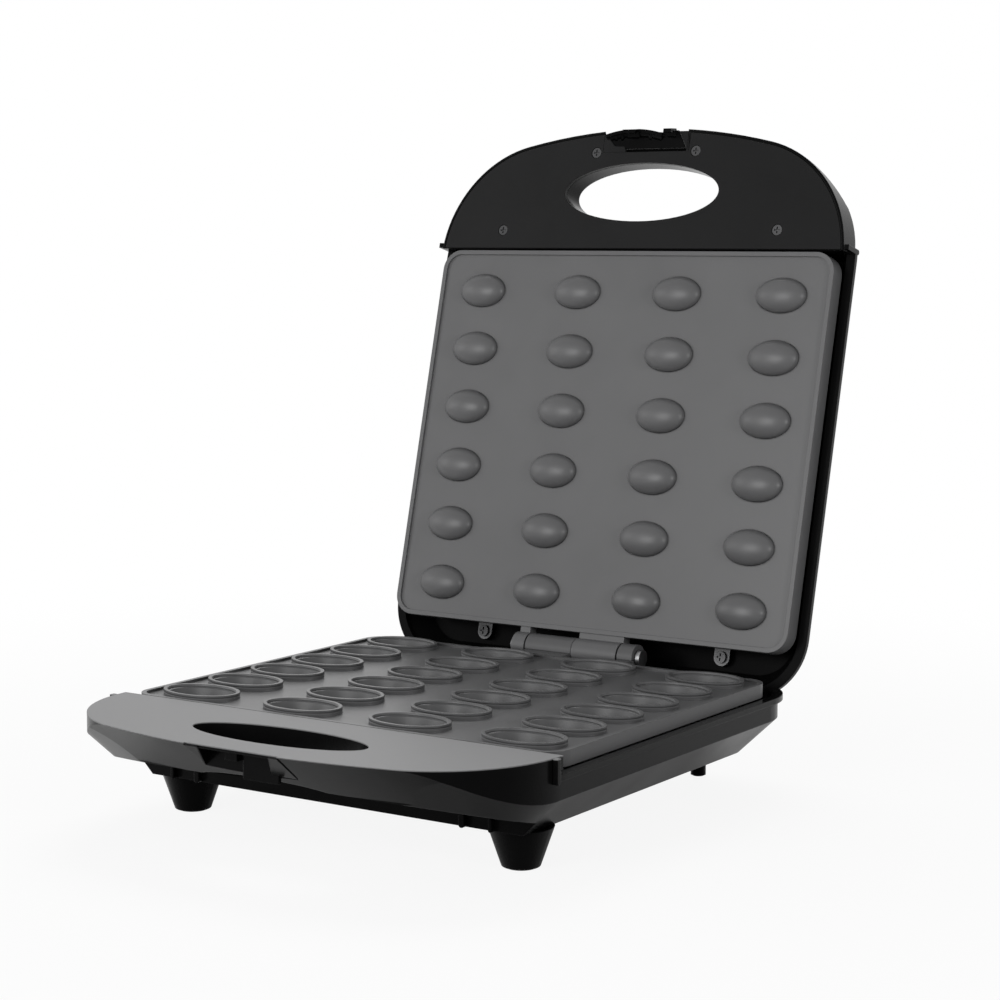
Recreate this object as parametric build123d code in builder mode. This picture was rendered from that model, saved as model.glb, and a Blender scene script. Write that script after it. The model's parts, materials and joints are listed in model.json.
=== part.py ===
from build123d import *
from math import asin, atan2, cos, degrees, radians, sin, sqrt, tan
import os

os.makedirs("parts", exist_ok=True)

# Plan of both halves, in mm, measured from the hinge axis
half_width = 125.0
front_reach = 286.5
rear_reach = 12.0
front_radius = 330.0
corner_radius = 64.0
rear_corner = 31.5
wall = 2.5

# Hinge and the pose with the lid open
hinge_y = 101.3
hinge_z = 57.2
lid_open = 104.3
bevel_gap = 0.5

# Depths are measured away from the plane in which the closed halves meet at the hinge axis
parting = 0.9
base_rim = 8.3
base_crease = 20.1
base_depth = 38.4
lid_rim = 10.1
lid_crease = 14.5
lid_depth = 29.0
base_apron = 262.8
base_apron_radius = 600.0
lid_apron = 268.4
lid_apron_radius = 312.0
base_lean = 46.0
lid_lean = 34.7
base_corner = 35.0
lid_corner = 45.0
base_slope_front = 261.0
base_slope_deep = 31.8
lid_slope_front = 262.0
lid_slope_deep = 22.0

# Bead along the sides and the rear
bead_out = 2.5
bead_height = 2.8
bead_front = 221.0
bead_strip = 2.7

# Baking plates
plate_half = 121.5
plate_corner = 11.0
rim_width = 2.4
lower_back = 13.5
lower_front = 213.3
lower_field = 2.3
ring_top = -0.7
skirt_gap = 0.3
upper_back = 10.2
upper_front = 218.0
upper_field = 1.1
upper_rim = -0.2
field_thick = 2.5

# Cups and domes, six rows in four columns
column_pitch = 62.0
row_pitch = 33.06
first_row = 29.7
ring_long = 21.0
ring_short = 14.0
ring_wall = 1.7
cup_depth = 12.0
cup_floor_long = 13.0
cup_floor_short = 7.5
dome_long = 15.0
dome_short = 9.75
dome_height = 6.5

# Hinge knuckles, alternating between the plates
knuckle_radius = 7.0
pin_radius = 2.75
pin_fit = 0.05
knuckle_gap = 0.3

# Handles
hole_y = 251.1
hole_long = 48.0
hole_short = 16.3
tube_wall = 2.0
skin = 2.5
panel_back = 219.7
panel_thick = 2.2
panel_inset = 1.8
seam = 0.3

# Heating elements and trays
tube_radius = 3.25
leg_x = 62.0
sheet = 0.8
base_tray = 19.0
lid_tray = 15.0
ear_x = 74.4
ear_y = 6.4
ear_width = 9.0
ear_drop = 7.2

# Feet
foot_x = 94.8
foot_y = 200.2
foot_radius = 8.5
foot_lean = 19.0
foot_screw_sink = 8.2
peg_x = 74.5
peg_y = 1.0
peg_radius = 3.9
peg_drop = 4.6
foot_pilot = 4.0
foot_head = 2.0
pad_proud = 0.5
rib_front = 219.5

# Latch; its clip spans less than the notch, further to one side
notch_half = 26.0
lip_thick = 1.7
lip_front = 283.8
recess_back = 273.5
recess_left = -25.0
recess_right = 27.0
latch_y = 276.8
latch_depth = 5.2
latch_pin = 1.2
barrel = 2.4
clip_front = 286.0
clip_tip = -4.6
clip_arch = 60.0
clip_middle = 8.0

ground = hinge_z
apron_run = (front_reach - lid_apron) / (lid_crease - parting)
bevel_rise = tan(radians(lid_open / 2))
sweep_y = front_reach - front_radius
cross_wall = lower_front + 0.6
handle_wall = cross_wall + wall
lid_wall = upper_front + 1.2
base_rise = (base_slope_deep - base_crease) / (base_slope_front - handle_wall)
lid_rise = (lid_slope_deep - lid_crease) / (lid_slope_front - lid_wall - wall)
slopes = (
    (handle_wall, base_slope_front, base_crease, base_slope_deep, base_rise),
    (lid_wall + wall, lid_slope_front, lid_crease, lid_slope_deep, lid_rise),
)
cup_places = [
    Location((x * column_pitch, first_row + row * row_pitch))
    for x in (-1.5, -0.5, 0.5, 1.5)
    for row in range(6)
]

# Each half has its own plane, with x across, y ahead of the hinge and z into its shell
base = Plane(origin=(0, hinge_y, hinge_z), x_dir=(1, 0, 0), z_dir=(0, 0, -1))
lid = Plane(
    origin=(0, hinge_y, hinge_z),
    x_dir=(-1, 0, 0),
    z_dir=(0, sin(radians(lid_open)), cos(radians(lid_open))),
)
beyond_sides = half_width + 25.0
beyond_front = front_reach + 13.5
forms = (
    (base_crease, base_depth, base_apron, base_apron_radius, base_lean, base_corner),
    (lid_crease, lid_depth, lid_apron, lid_apron_radius, lid_lean, lid_corner),
)


def side(half):
    """Plane through the middle of a half, with x ahead of the hinge and y into the shell."""
    return Plane(origin=half.origin, x_dir=half.y_dir, z_dir=half.x_dir)


def front(half, reach):
    """Plane across a half at a reach from the hinge, with x across and y into the shell."""
    return Plane(
        origin=half.origin + half.y_dir * reach, x_dir=half.x_dir, z_dir=-half.y_dir
    )


def plan(inset, sweep=front_radius, corner=corner_radius):
    """Plan outline of a half, with a front arc and corners of the radii given, moved in by inset."""
    small_x = half_width - corner
    small_y = sweep_y + sqrt((sweep - corner) ** 2 - small_x**2)
    turn = degrees(atan2(small_y - sweep_y, small_x))
    rear_x = half_width - rear_corner
    rear_y = rear_corner - rear_reach
    with BuildSketch() as outline:
        with BuildLine():
            CenterArc((0, sweep_y), sweep - inset, turn, 90 - turn)
            CenterArc((small_x, small_y), corner - inset, 0, turn)
            Line((half_width - inset, small_y), (half_width - inset, rear_y))
            CenterArc((rear_x, rear_y), rear_corner - inset, -90, 90)
            Line((rear_x, inset - rear_reach), (0, inset - rear_reach))
            mirror(about=Plane.YZ)
        make_face()
    return outline.sketch


def apron(half, crease, reach, radius, depth, inset):
    """Everything behind the front apron, ruled from the plan's arc to a flatter one at the crease."""
    with BuildPart() as behind:
        for level, arc, middle in (
            (parting, front_radius - inset, sweep_y),
            (crease, radius - inset, reach - radius),
        ):
            with BuildSketch(half.offset(level)):
                with BuildLine():
                    turn = degrees(asin(beyond_sides / arc))
                    CenterArc((0, middle), arc, 90 - turn, 2 * turn)
                    Polyline(
                        (-beyond_sides, middle + arc * cos(radians(turn))), (-beyond_sides, -20),
                        (beyond_sides, -20), (beyond_sides, middle + arc * cos(radians(turn))),
                    )
                make_face()
        loft(ruled=True)
        extrude(behind.faces().sort_by(Axis(half.origin, half.z_dir))[-1], amount=depth - crease)
    return behind.part


def shell_form(half, inset, level=None):
    """One half's outer form with its walls moved in by inset and its slopes, if given, by level."""
    crease, depth, reach, radius, lean, corner = forms[half is lid]
    run = (front_reach - reach) / (crease - parting)
    apron_in = inset * sqrt(1 + run**2) if level is None else level
    tub_in = inset / cos(radians(lean)) if level is None else level
    height = depth - inset - parting
    flare = (crease - parting) * tan(radians(lean))
    with BuildPart() as form:
        with BuildSketch(half.offset(parting)):
            add(plan(inset))
        extrude(amount=height)
        with BuildSketch(half.offset(parting)):
            add(plan(tub_in - flare, front_radius + 1 - flare, corner))
        extrude(amount=height, taper=lean, mode=Mode.INTERSECT)
        add(apron(half, crease, reach, radius, depth, apron_in), mode=Mode.INTERSECT)
    return form.part


def strip(half, y0, y1, z0, z1, half_x=beyond_sides, x=0.0):
    """Block across a half from reach y0 to y1 and depth z0 to z1."""
    with BuildPart() as block:
        with BuildSketch(half.offset(z0)):
            with Locations((x, (y0 + y1) / 2)):
                Rectangle(2 * half_x, y1 - y0)
        extrude(amount=z1 - z0)
    return block.part


def beyond_slope(half, lift):
    """Everything beyond the slanted back of a half's handle, raised by lift."""
    back, front_y, crease, deep, rise = slopes[half is lid]
    with BuildPart() as beyond:
        with BuildSketch(side(half)):
            with BuildLine():
                Polyline(
                    (back, deep - lift),
                    (beyond_front, crease - lift - (beyond_front - front_y) * rise),
                    (beyond_front, 60),
                    (back, 60),
                    close=True,
                )
            make_face()
        extrude(amount=beyond_sides, both=True)
    return beyond.part


def bevel_cut(half):
    """Wedge behind the hinge in which the other half comes to rest."""
    with BuildPart() as wedge:
        with BuildSketch(side(half)):
            with BuildLine():
                Polyline(
                    (0, -5), (0, bevel_gap), (-30, bevel_gap + 30 * bevel_rise), (-30, -5),
                    close=True,
                )
            make_face()
        extrude(amount=beyond_sides, both=True)
    return wedge.part


def bead(half, rim):
    """Bead along the sides and rear, stepping up to the parting plane at its front ends."""
    with BuildPart() as trim:
        with BuildSketch(half.offset(rim)):
            add(plan(-bead_out))
            add(plan(0.5), mode=Mode.SUBTRACT)
        extrude(amount=bead_height)
        add(strip(half, -20, bead_front, rim, rim + bead_height), mode=Mode.INTERSECT)
        with BuildSketch(half.offset(parting)):
            with Locations((0, bead_front)):
                with GridLocations(2 * half_width + bead_out, 1, 2, 1):
                    Rectangle(bead_out, bead_strip)
        extrude(amount=rim + bead_height - parting)
        with BuildSketch(side(half).offset(half_width)):
            with Locations((bead_front, rim + bead_height)):
                Circle(bead_strip / 2)
        extrude(amount=bead_out)
        with BuildSketch(side(half).offset(-half_width)):
            with Locations((bead_front, rim + bead_height)):
                Circle(bead_strip / 2)
        extrude(amount=-bead_out)
    return trim.part


def pillar(half, places, radius, z0, z1):
    """Round posts of one radius at several places, from depth z0 to z1."""
    with BuildPart() as posts:
        with BuildSketch(half.offset(z0)):
            with Locations(*places):
                Circle(radius)
        extrude(amount=z1 - z0)
    return posts.part


def finger_hole(half, grow, z0, z1):
    """Oval through the handle, grown by grow."""
    with BuildPart() as oval:
        with BuildSketch(half.offset(z0)):
            with Locations((0, hole_y)):
                Ellipse(hole_long + grow, hole_short + grow)
        extrude(amount=z1 - z0)
    return oval.part


def cross_screws(plane, places, top, head_radius, head_height, radius, length):
    """Cross-recessed pan-head screws along a plane's normal, with the tops of their heads at top."""
    with BuildPart() as screws:
        with BuildSketch(plane.offset(top)):
            with Locations(*places):
                Circle(head_radius)
        extrude(amount=head_height)
        with BuildSketch(plane.offset(top + head_height)):
            with Locations(*places):
                Circle(radius)
        extrude(amount=length)
        with BuildSketch(plane.offset(top)):
            with Locations(*places):
                Rectangle(head_radius * 1.25, head_radius * 0.28)
                Rectangle(head_radius * 0.28, head_radius * 1.25)
        extrude(amount=head_height * 0.6, mode=Mode.SUBTRACT)
    return screws.part


def flip(half):
    """The same half seen from its shell, with z towards the plates."""
    return Plane(origin=half.origin, x_dir=-half.x_dir, z_dir=-half.z_dir)


def oval_block(half, long, short, z0, z1):
    """Ovals at all the cup places, from depth z0 to z1."""
    with BuildPart() as ovals:
        with BuildSketch(half.offset(z0)):
            with Locations(*cup_places):
                Ellipse(long, short)
        extrude(amount=z1 - z0)
    return ovals.part


def oval_taper(half, sections):
    """One tapered oval per cup place, lofted through (depth, long, short) sections."""
    with BuildPart() as one:
        for (z0, long0, short0), (z1, long1, short1) in zip(sections, sections[1:]):
            with BuildSketch(half.offset(z0)):
                Ellipse(long0, short0)
            with BuildSketch(half.offset(z1)):
                Ellipse(long1, short1)
            loft()
    with BuildPart() as all_ovals:
        for place in cup_places:
            add(one.part.moved(half.location * place * half.location.inverse()))
    return all_ovals.part


def plate_blank(half, back, ahead, rim, field, skirt):
    """Cast plate with a raised rim round a sunken field and a skirt round its hollow back."""
    middle = (back + ahead) / 2
    with BuildPart() as blank:
        with BuildSketch(half.offset(rim)):
            with Locations((0, middle)):
                RectangleRounded(2 * plate_half, ahead - back, plate_corner)
        extrude(amount=skirt - rim)
        with BuildSketch(half.offset(rim)):
            with Locations((0, middle)):
                RectangleRounded(
                    2 * (plate_half - rim_width),
                    ahead - back - 2 * rim_width,
                    plate_corner - rim_width,
                )
        extrude(amount=field - rim, mode=Mode.SUBTRACT)
        with BuildSketch(half.offset(field + field_thick)):
            with Locations((0, middle)):
                RectangleRounded(
                    2 * (plate_half - rim_width - 0.6),
                    ahead - back - 2 * rim_width - 1.2,
                    plate_corner - rim_width - 0.6,
                )
        extrude(amount=skirt - field - field_thick, mode=Mode.SUBTRACT)
    return blank.part


def knuckle(half, x0, x1, web_to, web_x0, web_x1):
    """Hinge knuckle from x0 to x1 with its web to the plate."""
    with BuildPart() as barrel:
        with BuildSketch(side(half).offset(x0)):
            Circle(knuckle_radius)
        extrude(amount=x1 - x0)
        with BuildSketch(side(half).offset(web_x0)):
            with BuildLine():
                Polyline(
                    (0, knuckle_gap + 0.2), (web_to, knuckle_gap + 0.2), (web_to, knuckle_radius),
                    (0, knuckle_radius), close=True,
                )
            make_face()
        extrude(amount=web_x1 - web_x0)
    return barrel.part


def tray(half, level, holes):
    """Sheet tray behind a plate, with raised sides, two rear ears and two front tongues."""
    back, ahead = 17.5, 207.0
    middle = (back + ahead) / 2
    rise = 8.0
    with BuildPart() as pan:
        with BuildSketch(half.offset(level)):
            with Locations((0, middle)):
                RectangleRounded(224, ahead - back, 8)
        extrude(amount=sheet)
        with BuildSketch(half.offset(level - rise)):
            with Locations((0, middle)):
                RectangleRounded(224, ahead - back, 8)
                RectangleRounded(224 - 2 * sheet, ahead - back - 2 * sheet, 8 - sheet, mode=Mode.SUBTRACT)
        extrude(amount=rise)
        with BuildSketch(half.offset(level)):
            with Locations((-ear_x, back - sheet / 2), (ear_x, back - sheet / 2)):
                Rectangle(ear_width, sheet)
        extrude(amount=ear_drop + sheet)
        with BuildSketch(half.offset(level)):
            with Locations((-ear_x, back), (ear_x, back)):
                Rectangle(ear_width, 2 * sheet)
        extrude(amount=sheet)
        with BuildSketch(half.offset(level + ear_drop)):
            with Locations(*ear_places):
                Circle(ear_width / 2)
            with Locations((-ear_x, (ear_y + back) / 2), (ear_x, (ear_y + back) / 2)):
                Rectangle(ear_width, back - ear_y)
            with Locations(*ear_places):
                Circle(1.8, mode=Mode.SUBTRACT)
        extrude(amount=sheet)
        with BuildSketch(half.offset(level)):
            with Locations((-ear_x, ahead + 2.6), (ear_x, ahead + 2.6)):
                Rectangle(ear_width, 5.4)
        extrude(amount=sheet)
        with BuildSketch(half.offset(level)):
            with Locations(*tail_places):
                Circle(5)
            with Locations(*plate_screw_places):
                Circle(1.8)
            for place, radius in holes:
                with Locations(place):
                    Circle(radius)
        extrude(amount=sheet, mode=Mode.SUBTRACT)
    return pan.part


def heater(half, level, tail):
    """Bent tube heater with its two tails turned down into the shell."""
    with BuildPart() as element:
        with BuildLine(half.offset(level)) as route:
            FilletPolyline(
                (-leg_x, tail_y, tail - level),
                (-leg_x, tail_y, 0),
                (-leg_x, cross_run, 0),
                (leg_x, cross_run, 0),
                (leg_x, tail_y, 0),
                (leg_x, tail_y, tail - level),
                radius=9,
            )
        with BuildSketch(half.offset(tail)):
            with Locations((-leg_x, tail_y)):
                Circle(tube_radius)
        sweep(path=route.wires()[0])
    return element.part


def save(piece, name):
    piece.label = name
    export_step(piece, f"parts/{name}.step")


base_ear_top = base_tray + ear_drop
lid_ear_top = lid_tray + ear_drop
base_floor = base_depth - wall
peg_top = base_depth + peg_drop
lid_floor = lid_depth - wall
lower_skirt = base_rim - skirt_gap
upper_skirt = lid_rim - skirt_gap
lower_back_of_field = lower_field + field_thick
upper_back_of_field = upper_field + field_thick
ear_places = [(-ear_x, ear_y), (ear_x, ear_y)]
tongue_back = 209.3
cross_run = first_row + 4.5 * row_pitch
tail_y = first_row + 0.5 * row_pitch - 12
plate_screw_places = [
    (x * column_pitch * 1.5, first_row + row * row_pitch) for x in (-1, 1) for row in (0.5, 4.5)
]
thermostat_place = (0, first_row + 2.5 * row_pitch)

# Lower plate
with BuildPart() as lower_plate:
    add(plate_blank(base, lower_back, lower_front, parting, lower_field, lower_skirt))
    add(oval_block(base, ring_long, ring_short, ring_top, lower_field + 1))
    with BuildSketch(base.offset(lower_back_of_field - 0.5)):
        with Locations(*cup_places):
            SlotOverall(2 * (ring_long - 2), 2 * (ring_short - 1.5))
    extrude(amount=ring_top + cup_depth + 2.3 - lower_back_of_field + 0.5, taper=20)
    add(
        oval_taper(
            base,
            [
                (ring_top, ring_long - ring_wall, ring_short - ring_wall),
                (ring_top + cup_depth, cup_floor_long, cup_floor_short),
            ],
        ),
        mode=Mode.SUBTRACT,
    )
    add(pillar(base, plate_screw_places, 3.6, lower_back_of_field - 0.5, base_tray))
    add(pillar(base, plate_screw_places, 1.45, base_tray - 8, base_tray), mode=Mode.SUBTRACT)
    add(pillar(base, [thermostat_place], 8.5, lower_back_of_field - 0.5, 10))
    add(knuckle(base, -28.5, 0, lower_back + 1, -28.3, -0.2))
    add(knuckle(base, 28.5, 37.5, lower_back + 1, 28.7, 37.3))
    with BuildSketch(side(base).offset(-40)):
        Circle(pin_radius + pin_fit)
    extrude(amount=80, mode=Mode.SUBTRACT)
save(lower_plate.part, "lower_plate")

# Upper plate; x runs the other way in the lid's plane
with BuildPart() as upper_plate:
    add(plate_blank(lid, upper_back, upper_front, upper_rim, upper_field, upper_skirt))
    add(
        oval_taper(
            lid,
            [
                (upper_field + 0.6, dome_long, dome_short),
                (upper_field - 0.62 * dome_height, 0.82 * dome_long, 0.79 * dome_short),
                (upper_field - dome_height, 0.5 * dome_long, 0.44 * dome_short),
            ],
        )
    )
    add(pillar(lid, plate_screw_places, 3.6, upper_back_of_field - 0.5, lid_tray))
    add(pillar(lid, plate_screw_places, 1.45, lid_tray - 8, lid_tray), mode=Mode.SUBTRACT)
    add(knuckle(lid, 29.5, 37.5, upper_back + 1, 31.1, 37.3))
    add(knuckle(lid, -27.5, -knuckle_gap, upper_back + 1, -27.3, 0))
    with BuildSketch(side(lid).offset(-40)):
        Circle(pin_radius + pin_fit)
    extrude(amount=80, mode=Mode.SUBTRACT)
save(upper_plate.part, "upper_plate")


# Heaters with their pins, clips and trays
base_tails = base_tray + 6
lid_tails = lid_tray + 3
tail_places = [(-leg_x, tail_y), (leg_x, tail_y)]
clip_places = [(x, first_row + row * row_pitch) for x in (-leg_x, leg_x) for row in (1.5, 3.5)]
for name, half, under, tails in (
    ("lower", base, lower_back_of_field, base_tails),
    ("upper", lid, upper_back_of_field, lid_tails),
):
    level = under + tube_radius + pin_fit
    save(heater(half, level, tails), f"{name}_heater")
    with BuildPart() as pins:
        add(pillar(half, tail_places, 2.4, tails, tails + 1.5))
        with BuildSketch(half.offset(tails + 1.5)):
            with Locations(*tail_places):
                Rectangle(6.3, 0.8)
        extrude(amount=4)
    save(pins.part, f"{name}_heater_tabs")
    with BuildPart() as clips:
        for x, y in clip_places:
            with BuildSketch(front(half, y - 3)):
                with Locations((x, level)):
                    Circle(tube_radius + pin_fit + sheet)
                with Locations((x, under + sheet / 2 + 1)):
                    Rectangle(15, sheet)
            extrude(amount=-6)
            with BuildSketch(front(half, y - 4)):
                with Locations((x, level)):
                    Circle(tube_radius + pin_fit)
                with Locations((x, under)):
                    Rectangle(20, 2)
            extrude(amount=-8, mode=Mode.SUBTRACT)
    save(clips.part, f"{name}_heater_clips")
strap_screw_places = [(-15, thermostat_place[1]), (15, thermostat_place[1])]
thermostat_holes = [(thermostat_place, 8.1)] + [(place, 1.25) for place in strap_screw_places]
save(tray(base, base_tray, thermostat_holes), "lower_tray")
save(tray(lid, lid_tray, []), "upper_tray")

# Base shell: tub for the plate, then the hollow handle that is open underneath
base_outer = shell_form(base, 0)
base_inner = shell_form(base, wall)
cover_thick = 2.2
cover_lift = cover_thick / cos(atan2(base_rise, 1))
cover_screw_y = 228.0
cover_screw_places = [(x, cover_screw_y) for x in (-100, -40, 40, 100)]
cover_outer = base_crease + (base_slope_front - cover_screw_y) * base_rise
cover_seat = cover_outer - 3.5
foot_places = [(-foot_x, foot_y), (foot_x, foot_y)]
peg_places = [(-peg_x, peg_y), (peg_x, peg_y)]
with BuildPart() as bay:
    add(base_inner)
    add(strip(base, -20, cross_wall, 0, 60), mode=Mode.INTERSECT)
with BuildPart() as hollow:
    add(base_inner)
    add(strip(base, handle_wall, 290, parting + skin, 60), mode=Mode.INTERSECT)
cord_x = 30.0
cord_depth = 28.0
with BuildPart() as cord_boss:
    with BuildSketch(front(base, -11.0)):
        with Locations((cord_x, cord_depth)):
            Circle(9.5)
    extrude(amount=-14)
with BuildPart() as cord_bore:
    with BuildSketch(front(base, -12.0)):
        with Locations((cord_x, cord_depth)):
            Circle(5.5)
    extrude(amount=-17.5)
with BuildPart() as tongue_hooks:
    for x in (-ear_x, ear_x):
        add(strip(base, tongue_back, cross_wall + 0.5, base_tray - 2.5, base_tray + 3.3, 6.5, x))
        slot_top = base_tray - 0.1
        slot = strip(base, tongue_back - 1, cross_wall - 0.3, slot_top, slot_top + sheet + 0.2, 4.7, x)
        add(slot, mode=Mode.SUBTRACT)
with BuildPart() as handle_inside:
    add(finger_hole(base, tube_wall, parting + 0.5, 45))
    add(strip(base, 267.9, 283, parting + 0.5, 30, notch_half + 2))
    add(pillar(base, cover_screw_places, 4, parting + 1, cover_seat - 1.8))
    add(beyond_slope(base, cover_lift + 0.05), mode=Mode.SUBTRACT)
    add(base_outer, mode=Mode.INTERSECT)
with BuildPart() as peg_bosses:
    add(pillar(base, peg_places, 6.5, 20, peg_top))
    add(bay.part, mode=Mode.SUBTRACT)
with BuildPart() as lower_housing:
    add(base_outer)
    add(beyond_slope(base, 0), mode=Mode.SUBTRACT)
    add(bead(base, base_rim))
    add(bay.part, mode=Mode.SUBTRACT)
    add(strip(base, -20, cross_wall, 0, base_rim), mode=Mode.SUBTRACT)
    add(hollow.part, mode=Mode.SUBTRACT)
    add(handle_inside.part)
    add(tongue_hooks.part)
    add(pillar(base, ear_places, 4.5, base_ear_top + sheet, base_floor + 0.5))
    add(pillar(base, foot_places, 4.5, base_floor - foot_pilot - 2, base_floor + 0.5))
    for x, rib in ((-91, 0.9), (-76, 1.5), (76, 1.5), (91, 0.9)):
        with BuildSketch(front(base, handle_wall - 0.5)):
            with Locations((x, (base_slope_deep + 0.3 + base_depth) / 2)):
                SlotOverall(base_depth - base_slope_deep - 0.3, 2 * rib, rotation=90)
        extrude(amount=handle_wall - rib_front - 0.5)
    add(peg_bosses.part)
    add(cord_boss.part)
    add(cord_bore.part, mode=Mode.SUBTRACT)
    add(finger_hole(base, 0, -2, 45), mode=Mode.SUBTRACT)
    add(strip(base, 270, 290, parting + lip_thick, 30, notch_half), mode=Mode.SUBTRACT)
    add(strip(base, lip_front, 290, 0, parting + lip_thick + 1, notch_half), mode=Mode.SUBTRACT)
    add(strip(base, 269.5, 273.5, parting + lip_thick - 0.1, 9, 3.5, -8.9))
    add(strip(base, 269.5, 271.2, parting + lip_thick - 0.1, 17, 10, 6))
    add(pillar(base, cover_screw_places, 1.2, 12, cover_seat), mode=Mode.SUBTRACT)
    add(pillar(base, ear_places, 1.2, base_ear_top, base_floor), mode=Mode.SUBTRACT)
    add(pillar(base, foot_places, 1.45, base_floor - foot_pilot, base_depth), mode=Mode.SUBTRACT)
    add(pillar(base, peg_places, 2.5, peg_top - 6, peg_top), mode=Mode.SUBTRACT)
    add(bevel_cut(base), mode=Mode.SUBTRACT)
save(lower_housing.part, "lower_housing")

# Cover under the base handle
with BuildPart() as handle_cover:
    add(beyond_slope(base, cover_lift))
    add(pillar(base, cover_screw_places, 5, cover_seat - 1.8, base_depth))
    add(beyond_slope(base, 0), mode=Mode.SUBTRACT)
    add(shell_form(base, wall + seam), mode=Mode.INTERSECT)
    add(strip(base, handle_wall + seam, 290, 0, 60), mode=Mode.INTERSECT)
    add(finger_hole(base, 0, -2, 45), mode=Mode.SUBTRACT)
    add(strip(base, 267.6, 290, 0, 60, notch_half + 2.3), mode=Mode.SUBTRACT)
    add(pillar(base, cover_screw_places, 3.5, cover_seat, base_depth), mode=Mode.SUBTRACT)
    add(pillar(base, cover_screw_places, 1.7, cover_seat - 3, base_depth), mode=Mode.SUBTRACT)
save(handle_cover.part, "lower_handle_cover")
save(cross_screws(flip(base), cover_screw_places, -cover_seat - 1.8, 3, 1.8, 1.2, 12), "handle_cover_screws")

# Feet, screwed or pegged under the base, with their rubber pads
foot_bottom = ground - pad_proud
foot_height = foot_bottom - base_depth
foot_wide = foot_radius + (ground - base_depth) * tan(radians(foot_lean))
foot_narrow = foot_wide - foot_height * tan(radians(foot_lean))
foot_seat = foot_bottom - foot_screw_sink
foot_shank = foot_seat - foot_head - base_floor + foot_pilot - 0.6
with BuildPart() as front_feet:
    with Locations(base.offset(base_depth)):
        with Locations(*foot_places):
            Cone(foot_wide, foot_narrow, foot_height, align=(Align.CENTER, Align.CENTER, Align.MIN))
    rims = front_feet.edges().filter_by(GeomType.CIRCLE).group_by(Axis.Z)[0]
    fillet(rims, 1)
    with Locations(base.offset(base_depth)):
        with Locations(*foot_places):
            Cone(
                foot_wide - 2.4, foot_narrow - 1.2, foot_height - 3.5,
                align=(Align.CENTER, Align.CENTER, Align.MIN), mode=Mode.SUBTRACT,
            )
    add(pillar(base, foot_places, 5.4, base_depth, foot_bottom - 1))
    add(pillar(base, foot_places, 7, foot_bottom - 1.5, foot_bottom), mode=Mode.SUBTRACT)
    add(pillar(base, foot_places, 3.5, foot_seat - foot_head - 0.1, foot_bottom), mode=Mode.SUBTRACT)
    add(pillar(base, foot_places, 1.8, base_depth, foot_bottom), mode=Mode.SUBTRACT)
save(front_feet.part, "front_feet")
save(cross_screws(flip(base), foot_places, -foot_seat, 3, foot_head, 1.45, foot_shank), "foot_screws")
save(pillar(base, foot_places, 6.9, foot_bottom - 1.5, ground), "front_foot_pads")
with BuildPart() as rear_feet:
    add(pillar(base, peg_places, peg_radius, peg_top, foot_bottom))
    add(pillar(base, peg_places, 2.45, peg_top - 5.5, peg_top))
    add(pillar(base, peg_places, 3, foot_bottom - 1, foot_bottom), mode=Mode.SUBTRACT)
save(rear_feet.part, "rear_feet")
save(pillar(base, peg_places, 2.9, foot_bottom - 1, ground), "rear_foot_pads")

# Lid shell: tub for the plate, then the hollow handle that its panel closes
with BuildPart() as lid_form:
    add(shell_form(lid, 0))
    add(beyond_slope(lid, 0), mode=Mode.SUBTRACT)
lid_outer = lid_form.part
lid_inner = shell_form(lid, wall)
panel_under = parting + panel_thick
panel_screw_places = [(-31, 273.5), (31, 273.5), (-85.5, 229.9), (85.5, 229.9)]
lamp_places = [(-9, 203), (9, 203)]
with BuildPart() as lid_bay:
    add(lid_inner)
    add(strip(lid, -20, lid_wall, 0, 60), mode=Mode.INTERSECT)
with BuildPart() as lid_hollow:
    add(lid_inner)
    add(strip(lid, lid_wall + wall, 290, panel_under, 60), mode=Mode.INTERSECT)
    add(beyond_slope(lid, wall), mode=Mode.SUBTRACT)
with BuildPart() as panel_seat:
    add(shell_form(lid, panel_inset - seam, panel_inset - seam))
    add(strip(lid, panel_back - seam, 290, 0, panel_under), mode=Mode.INTERSECT)
recess_half = (recess_right - recess_left) / 2
recess_middle = (recess_right + recess_left) / 2
latch_recess = strip(lid, recess_back, 290, -2, 16, recess_half, recess_middle)
latch_pocket = strip(lid, recess_back - 4.5, 290, panel_under + 0.8, 15.5, recess_half, recess_middle)
latch_pin_length = recess_right - recess_left + 3
with BuildPart() as latch_pin_piece:
    with BuildSketch(side(lid).offset(recess_left - 1.5)):
        with Locations((latch_y, latch_depth)):
            Circle(latch_pin)
    extrude(amount=latch_pin_length)
save(latch_pin_piece.part, "latch_pin")
with BuildPart() as lid_inside:
    add(finger_hole(lid, tube_wall, panel_under, 45))
    add(strip(lid, recess_back - 6.5, 290, panel_under, 17.5, recess_half + 2.5, recess_middle))
    add(pillar(lid, panel_screw_places, 3.8, panel_under, 45))
    add(lid_outer, mode=Mode.INTERSECT)
with BuildPart() as lid_hooks:
    for x in (-ear_x, ear_x):
        add(strip(lid, tongue_back, lid_wall + 0.5, lid_tray - 2.5, lid_tray + 3.3, 6.5, x))
        slot_top = lid_tray - 0.1
        slot = strip(lid, tongue_back - 1, lid_wall - 0.3, slot_top, slot_top + sheet + 0.2, 4.7, x)
        add(slot, mode=Mode.SUBTRACT)
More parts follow.
